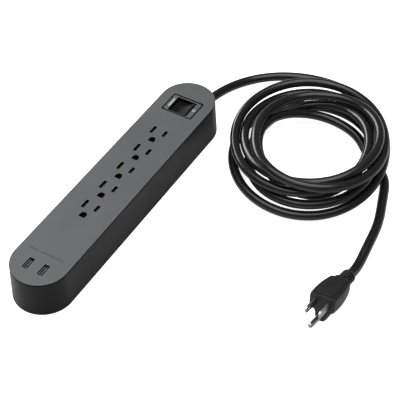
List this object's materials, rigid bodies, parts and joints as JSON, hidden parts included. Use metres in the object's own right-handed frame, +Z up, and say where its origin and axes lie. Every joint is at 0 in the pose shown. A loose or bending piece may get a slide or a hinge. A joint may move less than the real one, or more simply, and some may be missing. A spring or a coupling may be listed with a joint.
{
  "type": "power strip",
  "caption": "Rounded desk power strip with a row of grounded outlets, charging ports, a framed rocker switch and a coiled cord with a moulded grounded plug.",
  "frame": {"origin": "centre of the flat underside of the housing", "axes": "+X along the strip towards the switch and the cord, +Y towards the neutral slots, +Z up out of the face"},
  "size_m": [0.3923, 0.2636, 0.0472],
  "materials": {
    "face_grey": "fine matte grain",
    "shell_black": "satin",
    "carrier_black": "moulded nylon",
    "brass": "stamped",
    "steel": "zinc plated",
    "nickel": "bright nickel plate",
    "board_green": "solder mask",
    "ferrite": "moulded",
    "tape_yellow": "polyester tape",
    "cord_black": "smooth vinyl sheath",
    "wire_black": "vinyl",
    "wire_white": "vinyl",
    "wire_green": "vinyl"
  },
  "bodies": {
    "strip": {"base_cover": "shell_black", "bimetal_strip": "steel", "board_screw_1": "steel", "board_screw_2": "steel", "bridge_rectifier": "ferrite", "charger_ic": "ferrite", "clamp_screw_1": "steel", "clamp_screw_2": "steel", "contact_carrier": "carrier_black", "cord_clamp": "shell_black", "ground_bus": "brass", "ground_wire": "wire_green", "hot_bus": "brass", "housing_screw_1": "steel", "housing_screw_2": "steel", "housing_screw_3": "steel", "housing_screw_4": "steel", "housing_screw_5": "steel", "housing_screw_6": "steel", "housing_shell": "shell_black", "input_capacitor": "ferrite", "line_wire": "wire_black", "load_wire": "wire_black", "neutral_bus": "brass", "neutral_wire": "wire_white", "output_capacitor": "ferrite", "plug_body": "shell_black", "plug_ground_pin": "nickel", "plug_hot_blade": "nickel", "plug_neutral_blade": "nickel", "power_cord": "cord_black", "switch_bezel": "face_grey", "switch_housing": "shell_black", "switch_line_terminal": "brass", "switch_load_terminal": "brass", "top_plate": "face_grey", "transformer_core": "ferrite", "transformer_winding": "tape_yellow", "usb_board": "board_green", "usb_hot_wire": "wire_black", "usb_neutral_wire": "wire_white", "usb_shell_1": "nickel", "usb_shell_2": "nickel", "usb_tongue_1": "carrier_black", "usb_tongue_2": "carrier_black"},
    "rocker": {"rocker": "shell_black", "plunger_spring": "steel"},
    "plunger": {"rocker_plunger": "steel"},
    "contact_arm": {"contact_arm": "brass"}
  },
  "joints": [
    {"name": "rocker_hinge", "type": "hinge", "parent": "strip", "child": "rocker", "pos_m": [0.1106, -0.0002, 0.0323], "axis": [1, 0, 0], "range_deg": [0, 22]},
    {"name": "contact_hinge", "type": "hinge", "parent": "strip", "child": "contact_arm", "pos_m": [0.1106, -0.0002, 0.0182], "axis": [1, 0, 0], "range_deg": [-14, 0]},
    {"name": "plunger_slide", "type": "slide", "parent": "rocker", "child": "plunger", "axis": [0, 0.1908, 0.9816], "range_m": [0, 0.0008], "deforming": ["plunger_spring"]}
  ],
  "couplings": [
    {"joint": "contact_hinge", "follows": "rocker_hinge", "ratio": -0.63636}
  ]
}
